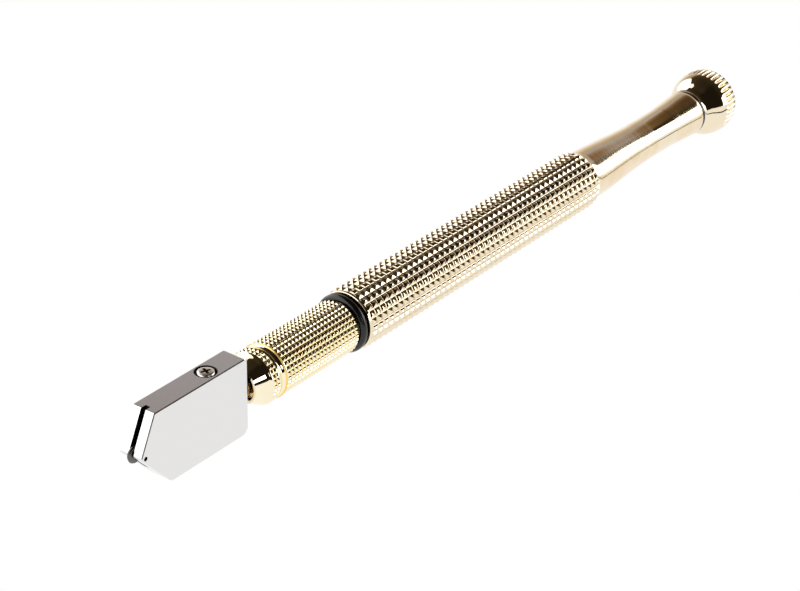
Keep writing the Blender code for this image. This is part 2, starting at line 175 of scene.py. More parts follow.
STEM_FRONT, STEM_TIP = cad_stations("stem")
STEM_R = 1.45
STEM_BORE_R = 0.55
FLANGE_R = cad_radius("stem")
BUSH_FRONT, BUSH_REAR = cad_stations("guide_bush")
BUSH_R = cad_radius("guide_bush")
NECK_HALF_WIDTH = 0.95
STEM_NECK_R = 1.05
ROD_R = 1.0
FLANGE_THICK = 0.6
RUNNING_GAP = 0.3       # between the stem and the bores it slides in
SEAL_POCKET_LENGTH = 1.4
SEAL_POCKET_R = 2.35

SEAL_FRONT_GAP = 0.05
SEAL_REAR_GAP = 0.03
SEAL_BULGE = 0.3        # how far the squeezed seal stands out past the CAD one


# ---------------------------------------------------------------------------- mesh helpers

def section(bm, station, radius, count):
    """A ring of points round the centre line, or one point on it when radius is 0."""
    if radius == 0:
        return [bm.verts.new((station, 0.0, 0.0))]
    ring = []
    for k in range(count):
        angle = FULL_TURN * k / count
        ring.append(bm.verts.new((station, radius * math.sin(angle), radius * math.cos(angle))))
    return ring


def profile_rings(bm, profile, count):
    """A ring for each (station, radius) point of a profile."""
    return [section(bm, x, r, count) for x, r in profile]


def join(bm, first, second):
    """Faces between two sections; the finer one has a whole multiple of the other's points."""
    fine, coarse = (first, second) if len(first) >= len(second) else (second, first)
    share = len(fine) // len(coarse)
    if len(coarse) == 1:
        for k in range(len(fine)):
            bm.faces.new((fine[k - 1], fine[k], coarse[0]))
        return
    for k in range(len(coarse)):
        run = [fine[(k * share + step) % len(fine)] for step in range(share + 1)]
        bm.faces.new(run + [coarse[(k + 1) % len(coarse)], coarse[k]])


def skin(bm, sections, closed=False):
    """Joins each section to the next, and the last to the first if closed."""
    for first, second in zip(sections, sections[1:]):
        join(bm, first, second)
    if closed:
        join(bm, sections[-1], sections[0])


def rounded(corners, steps=4):
    """The outline of a closed polygon whose corners, (x, y, radius), are arcs."""
    outline = []
    for k, (x, y, radius) in enumerate(corners):
        if radius == 0:
            outline.append((x, y))
            continue
        corner = Vector((x, y))
        before = (Vector(corners[k - 1][:2]) - corner).normalized()
        after = (Vector(corners[(k + 1) % len(corners)][:2]) - corner).normalized()
        half_angle = before.angle(after) / 2
        reach = radius / math.tan(half_angle)
        centre = corner + (before + after).normalized() * radius / math.sin(half_angle)
        start = corner + before * reach - centre
        sweep = start.angle_signed(corner + after * reach - centre)
        for step in range(steps + 1):
            spoke = start.copy()
            spoke.rotate(Matrix.Rotation(-sweep * step / steps, 2))
            outline.append(tuple(centre + spoke))
    return outline


def softened(profile, radius):
    """A turned profile with a small radius on every corner that is off the centre line."""
    return rounded([(x, r, radius if r > 0 else 0) for x, r in profile], 3)


def curve_through(points, steps):
    """A smooth run through (station, radius) points, whose neighbours set each one's slope."""
    run = []
    last = len(points) - 1
    for k in range(last):
        before, start = points[max(k - 1, 0)], points[k]
        end, after = points[k + 1], points[min(k + 2, last)]
        slope_in = (end[1] - before[1]) / (end[0] - before[0])
        slope_out = (after[1] - start[1]) / (after[0] - start[0])
        width = end[0] - start[0]
        for step in range(steps):
            t = step / steps
            radius = start[1] * (1 + 2 * t) * (1 - t) ** 2 + end[1] * t * t * (3 - 2 * t)
            radius += width * (slope_in * t * (1 - t) ** 2 - slope_out * t * t * (1 - t))
            run.append((start[0] + width * t, radius))
    return run + [points[last]]


def outward_normal(face):
    """The face's normal, pointing away from the centre line."""
    face.normal_update()
    middle = face.calc_center_median()
    middle.x = 0.0
    return face.normal if face.normal.dot(middle) > 0 else -face.normal


def pyramid(bm, stations, angles, crest_radius, depth):
    """A slightly bulging pyramid: its base corners and the normals at its slopes' feet.

    Both come in turn from the front.
    """
    base = []
    for station, angle in zip(stations, angles):
        radius = crest_radius(station) - depth
        point = (station, radius * math.sin(angle), radius * math.cos(angle))
        base.append(bm.verts.new(point))
    station, angle = sum(stations) / 4, sum(angles) / 4
    radius = crest_radius(station)
    apex = bm.verts.new((station, radius * math.sin(angle), radius * math.cos(angle)))
    outward = Vector((0.0, math.sin(angle), math.cos(angle)))
    bend = bm.loops.layers.float_vector["bend"]
    normals = []
    for j in range(4):
        face = bm.faces.new((base[j], base[(j + 1) % 4], apex))
        slope = outward_normal(face)
        foot = slope.lerp(outward, -BULGE).normalized()
        tip = slope.lerp(outward, BULGE).normalized()
        for loop in face.loops:
            loop[bend] = tip if loop.vert is apex else foot
        normals.append(foot)
        face.material_index = 1
    return base, normals


def groove_face(bm, corners):
    """A groove's bottom, shaded round from one slope's normal to the other's."""
    bend = bm.loops.layers.float_vector["bend"]
    face = bm.faces.new([vert for vert, _ in corners])
    for loop, (_, normal) in zip(face.loops, corners):
        loop[bend] = normal.normalized()
    # The groove finishes are darker than the pyramids' plating: painted shade in the grooves.
    face.material_index = 2


def knurl(bm, front, rear, rows, around, crest_radius, depth):
    """Pyramids in a net of rounded grooves; returns the rings of points at both ends."""
    pitch, step = (rear - front) / rows, FULL_TURN / around
    near, far = GROOVE / 2, 1 - GROOVE / 2
    cells = []
    for row in range(rows):
        stations = [front + pitch * (row + share) for share in (near, near, far, far)]
        cells.append([])
        for k in range(around):
            angles = [step * (k + share) for share in (near, far, far, near)]
            cells[row].append(pyramid(bm, stations, angles, crest_radius, depth))
    for row in range(rows):
        for k in range(around):
            base, normals = cells[row][k]
            beside, beside_normals = cells[row][(k + 1) % around]
            groove_face(bm, [
                (base[1], normals[1]), (base[2], normals[1]),
                (beside[3], beside_normals[3]), (beside[0], beside_normals[3]),
            ])
            if row == rows - 1:
                continue
            behind, behind_normals = cells[row + 1][k]
            groove_face(bm, [
                (base[3], normals[2]), (base[2], normals[2]),
                (behind[1], behind_normals[0]), (behind[0], behind_normals[0]),
            ])
            last, last_normals = cells[row + 1][(k + 1) % around]
            groove_face(bm, [
                (base[2], normals[1] + normals[2]),
                (beside[3], beside_normals[2] + beside_normals[3]),
                (last[0], last_normals[3] + last_normals[0]),
                (behind[1], behind_normals[0] + behind_normals[1]),
            ])
    first = [vert for base, _ in cells[0] for vert in (base[0], base[1])]
    final = [vert for base, _ in cells[-1] for vert in (base[3], base[2])]
    return first, final


def keep_bends(mesh):
    """Gives the knurl its own corner normals and leaves the rest of the mesh as it is."""
    bend = mesh.attributes.get("bend")
    if bend is None:
        return
    normals = []
    for wanted, plain in zip(bend.data, mesh.corner_normals):
        own = Vector(wanted.vector)
        normals.append(own if own.length > 0 else Vector(plain.vector))
    mesh.attributes.remove(bend)
    mesh.normals_split_custom_set(normals)


def finish_piece(name, bm, body, finishes, nodes, sharp_angle=28.0, turn=None):
    """Makes the object, rides it on its body and lets it stand for the CAD nodes."""
    if turn is not None:
        bmesh.ops.transform(bm, matrix=turn, verts=bm.verts)
    bmesh.ops.transform(bm, matrix=TO_ROW, verts=bm.verts)
    bmesh.ops.recalc_face_normals(bm, faces=bm.faces)
    mesh = bpy.data.meshes.new(name)
    bm.to_mesh(mesh)
    bm.free()
    for finish in finishes:
        mesh.materials.append(finish)
    mesh.shade_smooth()
    mesh.set_sharp_from_angle(angle=math.radians(sharp_angle))
    keep_bends(mesh)
    piece = bpy.data.objects.new(name, mesh)
    bpy.context.scene.collection.objects.link(piece)
    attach(piece, body)
    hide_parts(*nodes)
    return piece


def turned(name, body, finish, node, profile, closed=True, count=96, edge=0.05, turn=None):
    """A turned piece from the corners of its profile, each with a small edge radius."""
    bm = bmesh.new()
    skin(bm, profile_rings(bm, softened(profile, edge), count), closed)
    return finish_piece(name, bm, body, [finish], [node], turn=turn)


def cutter(bm, turn=None):
    """A hidden tool for a boolean cut, which leaves its near-black finish, painted shade, on the cut
    faces.
    """
    if turn is not None:
        bmesh.ops.transform(bm, matrix=turn, verts=bm.verts)
    bmesh.ops.transform(bm, matrix=TO_ROW, verts=bm.verts)
    bmesh.ops.recalc_face_normals(bm, faces=bm.faces)
    mesh = bpy.data.meshes.new("cutter")
    bm.to_mesh(mesh)
    bm.free()
    mesh.materials.append(SHADED_CUT_STEEL)
    tool = bpy.data.objects.new("cutter", mesh)
    bpy.context.scene.collection.objects.link(tool)
    return tool


def cut_and_apply(piece, tools):
    """Cuts the tools out of the piece, keeps the result as its mesh and removes the tools."""
    for tool in tools:
        cut = piece.modifiers.new("cut", "BOOLEAN")
        cut.operation = "DIFFERENCE"
        cut.material_mode = "TRANSFER"
        cut.object = tool
    even = piece.modifiers.new("even", "WEIGHTED_NORMAL")
    even.keep_sharp = True
    evaluated = piece.evaluated_get(bpy.context.evaluated_depsgraph_get())
    mesh = bpy.data.meshes.new_from_object(evaluated)
    piece.modifiers.clear()
    piece.data = mesh
    for tool in tools:
        bpy.data.objects.remove(tool)


# ---------------------------------------------------------------------------- materials

def new_finish(name, metallic, roughness):
    material = bpy.data.materials.new(name)
    material.use_nodes = True
    shader = material.node_tree.nodes["Principled BSDF"]
    shader.inputs["Metallic"].default_value = metallic
    shader.inputs["Roughness"].default_value = roughness
    return material, material.node_tree, shader


def noise(tree, stretch, detail=2.0):
    """A noise pattern with stretch cells per metre along each axis of the piece."""
    coords = tree.nodes.new("ShaderNodeTexCoord")
    mapping = tree.nodes.new("ShaderNodeMapping")
    mapping.inputs["Scale"].default_value = stretch
    texture = tree.nodes.new("ShaderNodeTexNoise")
    texture.inputs["Scale"].default_value = 1.0
    texture.inputs["Detail"].default_value = detail
    tree.links.new(coords.outputs["Object"], mapping.inputs["Vector"])
    tree.links.new(mapping.outputs["Vector"], texture.inputs["Vector"])
    return texture.outputs["Fac"]


def ramp(tree, factor, stops):
    """Turns a pattern into a colour or a grey level, from (position, colour) stops."""
    node = tree.nodes.new("ShaderNodeValToRGB")
    elements = node.color_ramp.elements
    elements[0].position, elements[0].color = stops[0][0], (*stops[0][1], 1.0)
    elements[1].position, elements[1].color = stops[-1][0], (*stops[-1][1], 1.0)
    for position, colour in stops[1:-1]:
        elements.new(position).color = (*colour, 1.0)
    tree.links.new(factor, node.inputs["Fac"])
    return node.outputs["Color"]


def grey(level):
    return (level, level, level)


def add_bump(tree, shader, height, depth, under=None):
    """Fine relief, depth in millimetres; under is an earlier bump that it adds to."""
    node = tree.nodes.new("ShaderNodeBump")
    node.inputs["Strength"].default_value = 1.0
    node.inputs["Distance"].default_value = depth * MM
    tree.links.new(height, node.inputs["Height"])
    if under is not None:
        tree.links.new(under, node.inputs["Normal"])
    tree.links.new(node.outputs["Normal"], shader.inputs["Normal"])
    return node.outputs["Normal"]


def plated(name, colour, shade, roughness, marks, mark_depth, ripple_depth):
    """Polished plating: cloudy tone, smudged gloss, tool marks and a faint ripple."""
    material, tree, shader = new_finish(name, 1.0, roughness[0])
    clouds = noise(tree, (260.0, 260.0, 260.0))
    tree.links.new(ramp(tree, clouds, [(0.3, shade), (0.6, colour)]), shader.inputs["Base Color"])
    smudges = noise(tree, (700.0, 500.0, 500.0), 4.0)
    gloss = ramp(tree, smudges, [(0.35, grey(roughness[0])), (0.75, grey(roughness[1]))])
    tree.links.new(gloss, shader.inputs["Roughness"])
    rippled = add_bump(tree, shader, noise(tree, (450.0, 450.0, 450.0)), ripple_depth)
    add_bump(tree, shader, noise(tree, marks, 3.0), mark_depth, rippled)
    return material


def satin_steel():
    """Plated steel ground flat: a very fine speckle and faint lines along the head."""
    material, tree, shader = new_finish("satin_steel", 1.0, 0.2)
    speckle = noise(tree, (9000.0, 9000.0, 9000.0), 3.0)
    tone = [(0.35, (0.765, 0.757, 0.752)), (0.65, (0.80, 0.792, 0.787))]
    tree.links.new(ramp(tree, speckle, tone), shader.inputs["Base Color"])
    lines = noise(tree, (350.0, 12000.0, 12000.0), 4.0)
    gloss = ramp(tree, lines, [(0.3, grey(0.15)), (0.75, grey(0.25))])
    tree.links.new(gloss, shader.inputs["Roughness"])
    grained = add_bump(tree, shader, speckle, 0.0003)
    add_bump(tree, shader, lines, 0.0004, grained)
    return material


def shaded_cut_steel():
    """The machined insides of cuts: unplated, with tool marks, and near black as painted shade in
    the slot, bores, holes and recess.
    """
    material, tree, shader = new_finish("shaded_cut_steel", 0.8, 0.4)
    stains = noise(tree, (2500.0, 2500.0, 2500.0), 4.0)
    tone = [(0.35, (0.012, 0.011, 0.010)), (0.7, (0.045, 0.040, 0.034))]
    tree.links.new(ramp(tree, stains, tone), shader.inputs["Base Color"])
    gloss = ramp(tree, stains, [(0.3, grey(0.32)), (0.7, grey(0.5))])
    tree.links.new(gloss, shader.inputs["Roughness"])
    add_bump(tree, shader, stains, 0.004)
    return material


def carbide():
    """Sintered carbide: dark, fine grained, ground round the rim."""
    material, tree, shader = new_finish("carbide", 1.0, 0.34)
    grain = noise(tree, (14000.0, 14000.0, 14000.0), 4.0)
    tone = [(0.3, (0.09, 0.083, 0.078)), (0.7, (0.22, 0.205, 0.195))]
    tree.links.new(ramp(tree, grain, tone), shader.inputs["Base Color"])
    gloss = ramp(tree, grain, [(0.3, grey(0.28)), (0.7, grey(0.42))])
    tree.links.new(gloss, shader.inputs["Roughness"])
    add_bump(tree, shader, grain, 0.003)
    return material


def black_rubber():
    """Moulded nitrile: near black, a wet sheen, a little dust."""
    material, tree, shader = new_finish("black_rubber", 0.0, 0.24)
    dust = noise(tree, (2600.0, 2600.0, 2600.0), 5.0)
    tone = [(0.45, (0.003, 0.003, 0.003)), (0.8, (0.009, 0.008, 0.008))]
    tree.links.new(ramp(tree, dust, tone), shader.inputs["Base Color"])
    gloss = ramp(tree, dust, [(0.3, grey(0.2)), (0.8, grey(0.32))])
    tree.links.new(gloss, shader.inputs["Roughness"])
    add_bump(tree, shader, dust, 0.004)
    return material


def felt():
    """Oiled cotton cord: long fibres along the bore, patchy amber oil."""
    material, tree, shader = new_finish("felt", 0.0, 0.9)
    fibres = noise(tree, (1500.0, 22000.0, 22000.0), 4.0)
    tone = [(0.3, (0.42, 0.33, 0.18)), (0.7, (0.74, 0.68, 0.54))]
    tree.links.new(ramp(tree, fibres, tone), shader.inputs["Base Color"])
    add_bump(tree, shader, fibres, 0.04)
    return material


ROUND_MARKS = (9000.0, 260.0, 260.0)     # turned: rings round the centre line
TURNED_MARKS = (3000.0, 200.0, 200.0)    # coarser rings
EVEN_MARKS = (5000.0, 5000.0, 5000.0)    # tumbled or plated: no direction

PALE = (0.885, 0.775, 0.585)
PALE_SHADE = (0.86, 0.745, 0.545)
# The pale groove colours are darker than the plating round them: painted shade in the bottoms of the
# knurl's grooves.
PALE_IN_PAINTED_SHADE = (0.88, 0.77, 0.59)
PALE_IN_DEEP_PAINTED_SHADE = (0.79, 0.65, 0.46)
TURNED = (0.88, 0.74, 0.53)
TURNED_SHADE = (0.83, 0.66, 0.43)
YELLOW = (0.97, 0.88, 0.66)
YELLOW_SHADE = (0.95, 0.85, 0.60)
# Deeper, more orange yellows for the grooves: painted shade and painted reflection between the
# pyramids.
YELLOW_IN_PAINTED_SHADE = (0.90, 0.72, 0.40)
YELLOW_IN_DEEP_PAINTED_SHADE = (0.82, 0.62, 0.30)
DEEP = (0.98, 0.70, 0.22)
DEEP_SHADE = (0.95, 0.62, 0.16)

PALE_GOLD = plated("pale_gold", PALE, PALE_SHADE, (0.03, 0.07), ROUND_MARKS, 0.0004, 0.001)
PALE_TURNED = plated(
    "pale_gold_turned", TURNED, TURNED_SHADE, (0.10, 0.17), TURNED_MARKS, 0.014, 0.001
)
# Bottoms of the barrel's knurl grooves, darkened as painted shade.
PALE_GROOVE_SHADED = plated(
    "pale_gold_groove_painted_shade", PALE_IN_PAINTED_SHADE, PALE_IN_DEEP_PAINTED_SHADE, (0.06, 0.12), EVEN_MARKS, 0.0006, 0.001
)
PALE_KNURL = plated("pale_gold_knurl", PALE, PALE_SHADE, (0.04, 0.09), EVEN_MARKS, 0.0006, 0.001)
YELLOW_GOLD = plated("yellow_gold", YELLOW, YELLOW_SHADE, (0.02, 0.05), ROUND_MARKS, 0.0003, 0.001)
YELLOW_KNURL = plated(
    "yellow_gold_knurl", YELLOW, YELLOW_SHADE, (0.04, 0.09), EVEN_MARKS, 0.0006, 0.001
)
# Bottoms of the grip's knurl grooves, deepened as painted shade and painted reflection.
YELLOW_GROOVE_SHADED = plated(
    "yellow_gold_groove_painted_shade", YELLOW_IN_PAINTED_SHADE, YELLOW_IN_DEEP_PAINTED_SHADE, (0.05, 0.1), EVEN_MARKS, 0.0006, 0.001
)
DEEP_YELLOW = plated("deep_yellow", DEEP, DEEP_SHADE, (0.05, 0.1), EVEN_MARKS, 0.0006, 0.001)
BRIGHT_STEEL = plated(
    "bright_steel", (0.93, 0.90, 0.87), (0.84, 0.81, 0.78), (0.08, 0.18), EVEN_MARKS, 0.002, 0.003
)
ZINC_STEEL = plated(
    "zinc_steel", (0.95, 0.90, 0.86), (0.86, 0.80, 0.76), (0.26, 0.38), EVEN_MARKS, 0.004, 0.004
)
BRASS = plated(
    "brass", (0.86, 0.62, 0.30), (0.74, 0.50, 0.22), (0.14, 0.26), ROUND_MARKS, 0.003, 0.002
)
SATIN_STEEL = satin_steel()
SHADED_CUT_STEEL = shaded_cut_steel()
CARBIDE = carbide()
BLACK_RUBBER = black_rubber()
FELT = felt()


# ---------------------------------------------------------------------------- pieces

def build_front_grip():
    def crest(station):
        return GRIP_R

    fine = GRIP_AROUND * FACETS_PER_GRIP_TOOTH
    bm = bmesh.new()
    bm.loops.layers.float_vector.new("bend")
    collar = knurl(bm, COLLAR_FRONT, COLLAR_REAR, COLLAR_ROWS, GRIP_AROUND, crest, GRIP_KNURL_DEPTH)
    grip = knurl(
        bm, GRIP_KNURL_FRONT, GRIP_KNURL_REAR, GRIP_ROWS, GRIP_AROUND, crest, GRIP_KNURL_DEPTH
    )
    root = GRIP_R - GRIP_KNURL_DEPTH
    lip = [(LIP + 1.0, GRIP_BORE_R), (LIP, GRIP_BORE_R), (LIP, LIP_R), (LIP + 0.4, LIP_R)]
    nose = softened(lip, NOSE_EDGE)[4:8]
    nose += curve_through(
        [
            (LIP + 0.1, LIP_R + 0.01),
            (LIP + 0.9, LIP_R + 0.43),
            (LIP + 1.7, LIP_R + 0.83),
            (LIP + 2.3, LIP_R + 1.12),
            (LIP + 2.75, root - 0.1),
            (COLLAR_FRONT - 0.05, root),
        ],
        5,
    )
    groove = [(COLLAR_REAR + 0.08, root + 0.02)]
    groove += curve_through(
        [
            (COLLAR_REAR + 0.2, root - 0.03),
            (COLLAR_REAR + 0.65, root - 0.2),
            (BEAD - 0.6, root - 0.18),
            (BEAD - 0.2, root + 0.02),
        ],
        4,
    )
    bead = []
    for step in range(7):
        angle = math.pi * (1 - step / 6)
        radius = GRIP_R - BEAD_SECTION_R + BEAD_SECTION_R * math.sin(angle)
        bead.append((BEAD + 0.14 * math.cos(angle), radius))
    neck = [(0.0, GRIP_R - 0.42), (0.0, NECK_R), (BARREL_FRONT, NECK_R)]
    neck += [(BARREL_FRONT + SPIGOT_EDGE, SPIGOT_R), (SPIGOT_REAR - SPIGOT_EDGE, SPIGOT_R)]
    neck += [(SPIGOT_REAR, SPIGOT_R - SPIGOT_EDGE), (SPIGOT_REAR, GRIP_BORE_R)]

    front = profile_rings(bm, nose, fine)
    skin(bm, front + [collar[0]])
    ridge = profile_rings(bm, groove + bead + [(BEAD + 0.2, root)], fine)
    skin(bm, [collar[1]] + ridge + [grip[0]])
    for face in bm.faces:
        if abs(face.calc_center_median().x - BEAD) < 0.2 and face.material_index == 0:
            face.material_index = 3
    tail = profile_rings(bm, neck, fine)
    skin(bm, [grip[1]] + tail + [front[0]])
    finishes = [YELLOW_GOLD, YELLOW_KNURL, YELLOW_GROOVE_SHADED, DEEP_YELLOW]
    finish_piece("front_grip_body", bm, "handle", finishes, ["front_grip"])


def shoulder_radius(station):
    """Radius over the barrel's knurl, which follows the rounded shoulder down at the rear."""
    past = min(max((station - SHOULDER_START) / (SHOULDER_END - SHOULDER_START), 0.0), 1.0)
    return BARREL_R - SHOULDER_DROP * (1 - math.sqrt(1 - past * past))


def build_barrel():
    fine = BARREL_AROUND * FACETS_PER_BARREL_TOOTH
    bm = bmesh.new()
    bm.loops.layers.float_vector.new("bend")
    knurl_rear = SHOULDER_END - KNURL_END_GAP
    first, last = knurl(
        bm, BARREL_KNURL_FRONT, knurl_rear, BARREL_ROWS, BARREL_AROUND, shoulder_radius,
        BARREL_KNURL_DEPTH,
    )
    lip = [(BARREL_FRONT, SOCKET_R), (BARREL_FRONT, BARREL_R - 0.48)]
    lip += [(BARREL_FRONT + 0.08, BARREL_R - 0.36), (BARREL_FRONT + 0.45, BARREL_R - 0.3)]
    lip += [(BARREL_FRONT + 0.62, BARREL_R - 0.36)]
    taper = curve_through(
        [
            (SHOULDER_END, TAIL_R + 0.02),
            (SHOULDER_END + 6.0, WAIST_R + 0.8),
            (SHOULDER_END + 12.0, WAIST_R + 0.43),
            (SHOULDER_END + 18.0, WAIST_R + 0.09),
            (WAIST_FRONT, WAIST_R),
        ],
        8,
    )
    waist = [(WAIST_FRONT + 0.12, WAIST_R), (WAIST_REAR - 0.12, WAIST_R + 0.03)]
    flare = curve_through(
        [
            (WAIST_REAR, WAIST_R + 0.04),
            (WAIST_REAR + 4.0, WAIST_R + 0.24),
            (BARREL_REAR - 0.25, WAIST_R + 0.6),
        ],
        8,
    )
    end = [(BARREL_REAR - 0.08, WAIST_R + 0.55), (BARREL_REAR, WAIST_R + 0.45)]
    inside = [
        (BARREL_REAR, TAIL_BORE_R),
        (SHOULDER_END + 3.0, TAIL_BORE_R),
        (SHOULDER_END + 1.5, RESERVOIR_R),
        (SPIGOT_REAR + 2.0, RESERVOIR_R),
        (SPIGOT_REAR + 2.0, SOCKET_R),
    ]

    front = profile_rings(bm, lip, fine)
    skin(bm, front + [first])
    tail = profile_rings(bm, taper + waist + flare + end + inside, fine)
    skin(bm, [last] + tail + [front[0]])
    for face in bm.faces:
        if face.calc_center_median().x > SHOULDER_END and face.material_index == 0:
            polished = WAIST_FRONT < face.calc_center_median().x < WAIST_REAR
            face.material_index = 0 if polished else 3
    finishes = [PALE_GOLD, PALE_KNURL, PALE_GROOVE_SHADED, PALE_TURNED]
    finish_piece("barrel_body", bm, "handle", finishes, ["barrel"])


def build_grip_ring():
    centre = cad_centre("grip_ring").x
    low, high = cad_stations("grip_ring")
    section_r = (high - low) / 2
    ring_r = cad_radius("grip_ring") - section_r
    steps = 20
    bm = bmesh.new()
    rings = []
    for step in range(steps):
        angle = FULL_TURN * step / steps
        point = (centre + section_r * math.cos(angle), ring_r + section_r * math.sin(angle))
        rings.append(section(bm, *point, 120))
    skin(bm, rings, closed=True)
    finish_piece("joint_ring", bm, "handle", [BLACK_RUBBER], ["grip_ring"])


def rib_drop(station, part):
    """How far the cap's surface lies under its rib tops; part runs from 0 to 1 across a rib."""
    rise = min(max((station - RIB_FRONT) / RIB_RISE, 0.0), 1.0)
    across = 1 - math.sqrt(max(1 - (2 * part - 1) ** 2, 0.0))
    return RIB_DEPTH * math.sqrt(rise) * across


def build_cap():
    count = RIBS * FACETS_PER_RIB
    bm = bmesh.new()
    spigot = [(CAP_SPIGOT_FRONT, 0.0), (CAP_SPIGOT_FRONT, CAP_SPIGOT_R - 0.3)]
    spigot += [(CAP_SPIGOT_FRONT + 0.3, CAP_SPIGOT_R), (CAP_FRONT, CAP_SPIGOT_R)]
    spigot += [(CAP_FRONT, CAP_NECK_R - 0.2), (CAP_FRONT + 0.06, CAP_NECK_R - 0.06)]
    bulb = curve_through(
        [
            (CAP_FRONT + 0.25, CAP_NECK_R),
            (CAP_FRONT + 0.9, CAP_NECK_R + 0.05),
            (CAP_FRONT + 1.7, CAP_NECK_R + 0.45),
            (CAP_FRONT + 2.7, CAP_R - 1.3),
            (CAP_FRONT + 4.0, CAP_R - 0.5),
            (CAP_FRONT + 5.4, CAP_R - 0.1),
            (CAP_FRONT + 6.9, CAP_R),
            (CAP_REAR - 1.5, CAP_R - 0.12),
            (CAP_REAR - 0.55, CAP_R - 0.5),
            (CAP_REAR - 0.12, CAP_R - 0.95),
            (CAP_REAR, CAP_R - 1.3),
        ],
        6,
    )
    sections = profile_rings(bm, spigot, count)
    for station, radius in bulb:
        ring = section(bm, station, radius, count)
        if RIB_FRONT < station < RIB_REAR:
            for k, vert in enumerate(ring):
                drop = rib_drop(station, (k % FACETS_PER_RIB) / FACETS_PER_RIB)
                vert.co.y *= 1 - drop / radius
                vert.co.z *= 1 - drop / radius
        sections.append(ring)
    sections.append(section(bm, CAP_REAR, 0.0, count))
    skin(bm, sections)
    finish_piece("cap_body", bm, "cap", [PALE_GOLD], ["cap"], sharp_angle=50.0)


def plate(outline, thickness):
    """A plate across the centre plane from its (station, height) outline."""
    bm = bmesh.new()
    near = [bm.verts.new((x, -thickness / 2, z)) for x, z in outline]
    far = [bm.verts.new((x, thickness / 2, z)) for x, z in outline]
    bm.faces.new(near)
    bm.faces.new(far)
    for k in range(len(near)):
        bm.faces.new((near[k - 1], near[k], far[k], far[k - 1]))
    return bm


def lathe(profile, count):
    bm = bmesh.new()
    skin(bm, profile_rings(bm, profile, count))
    return bm


def upright(station):
    """Carries the centre line to a vertical line at this station."""
    return Matrix.Translation((station, 0, 0)) @ Matrix.Rotation(-math.pi / 2, 4, "Y")


def across(station, height):
    """Carries the centre line to a line across the head at this station and height."""
    return Matrix.Translation((station, 0, height)) @ Matrix.Rotation(math.pi / 2, 4, "Z")


def build_head():
    corners = [
        (HEAD_REAR, HEAD_HIGH.z, 0.8),
        (HEAD_REAR, HEAD_LOW.z, 1.7),
        (HEAD_BOTTOM_FRONT, HEAD_LOW.z, 1.3),
        (HEAD_NOSE, HEAD_NOSE_HEIGHT, 0.45),
        (HEAD_TOP_FRONT, HEAD_HIGH.z, 0.35),
    ]
    bm = plate(rounded(corners, 10), HEAD_THICK)
    head = finish_piece(
        "cutting_head", bm, "head", [SATIN_STEEL], ["head_block"], sharp_angle=50.0
    )
    bevel = head.modifiers.new("edges", "BEVEL")
    bevel.width = HEAD_EDGE * MM
    bevel.segments = 1
    bevel.limit_method = "ANGLE"
    bevel.angle_limit = math.radians(60)

    past = 3.0
    slot = [
        (SLOT_TOP_END, HEAD_HIGH.z + past),
        (SLOT_BOTTOM_END, HEAD_LOW.z - past),
        (HEAD_NOSE - past, HEAD_LOW.z - past),
        (HEAD_NOSE - past, HEAD_HIGH.z + past),
    ]
    bore_r = STEM_R + RUNNING_GAP
    bore = [(HEAD_REAR + past, 0.0), (HEAD_REAR + past, bore_r + 0.25), (HEAD_REAR, bore_r + 0.25)]
    bore += [(HEAD_REAR - 0.3, bore_r), (STEM_FRONT - 0.6, bore_r), (STEM_FRONT - 1.2, STEM_BORE_R)]
    bore += [(SLOT_BOTTOM_END - 0.4, STEM_BORE_R), (SLOT_BOTTOM_END - 0.4, 0.0)]
    seat = HEAD_HIGH.z - COUNTERBORE_DEPTH
    screw_hole = [(0.0, 0.0), (0.0, SCREW_SHANK_R + 0.2), (seat, SCREW_SHANK_R + 0.2)]
    screw_hole += [(seat, COUNTERBORE_R), (HEAD_HIGH.z - 0.1, COUNTERBORE_R)]
    screw_hole += [(HEAD_HIGH.z + 0.1, COUNTERBORE_R + 0.2), (HEAD_HIGH.z + 0.1, 0.0)]
    pin_hole = [(-HEAD_THICK, 0.0), (-HEAD_THICK, AXLE_HOLE_R), (HEAD_THICK, AXLE_HOLE_R)]
    pin_hole += [(HEAD_THICK, 0.0)]
    # The slot, bore, counterbore and axle hole take the near-black painted-shade finish.
    cut_and_apply(head, [
        cutter(plate(slot, SLOT_WIDTH)),
        cutter(lathe(bore, 48)),
        cutter(lathe(screw_hole, 64), upright(SCREW.x)),
        cutter(lathe(pin_hole, 32), across(WHEEL.x, WHEEL.z)),
    ])


def build_wheel():
    hub_r = AXLE_R + 0.08
    bevel_drop = 0.16
    profile = [
        (-WHEEL_HALF, hub_r),
        (-WHEEL_HALF, WHEEL_R - bevel_drop - 0.12),
        (-WHEEL_HALF + 0.06, WHEEL_R - bevel_drop),
        (0.0, WHEEL_R),
        (WHEEL_HALF - 0.06, WHEEL_R - bevel_drop),
        (WHEEL_HALF, WHEEL_R - bevel_drop - 0.12),
        (WHEEL_HALF, hub_r),
    ]
    turned(
        "carbide_wheel", "wheel", CARBIDE, "cutting_wheel", profile,
        edge=0.012, turn=across(WHEEL.x, WHEEL.z),
    )
    pin = [(-AXLE_HALF, 0.0), (-AXLE_HALF, AXLE_R), (AXLE_HALF, AXLE_R), (AXLE_HALF, 0.0)]
    # The pin's near-black finish is painted shade in the axle hole.
    turned(
        "wheel_pin", "head", SHADED_CUT_STEEL, "wheel_axle", pin,
        closed=False, count=32, turn=across(WHEEL.x, WHEEL.z),
    )


def drive_wing(angle, top):
    """One tapered slot of the screw's cross recess."""
    bm = bmesh.new()
    corners = ((-1, -1), (1, -1), (1, 1), (-1, 1))
    rings = []
    for rise, half_length, half_width in (CROSS_TOP, CROSS_BOTTOM):
        level = [(a * half_length, b * half_width, top + rise) for a, b in corners]
        rings.append([bm.verts.new(point) for point in level])
        bm.faces.new(rings[-1])
    join(bm, rings[0], rings[1])
    turn = Matrix.Rotation(math.radians(angle), 4, "Z")
    return cutter(bm, Matrix.Translation((SCREW.x, 0, 0)) @ turn)


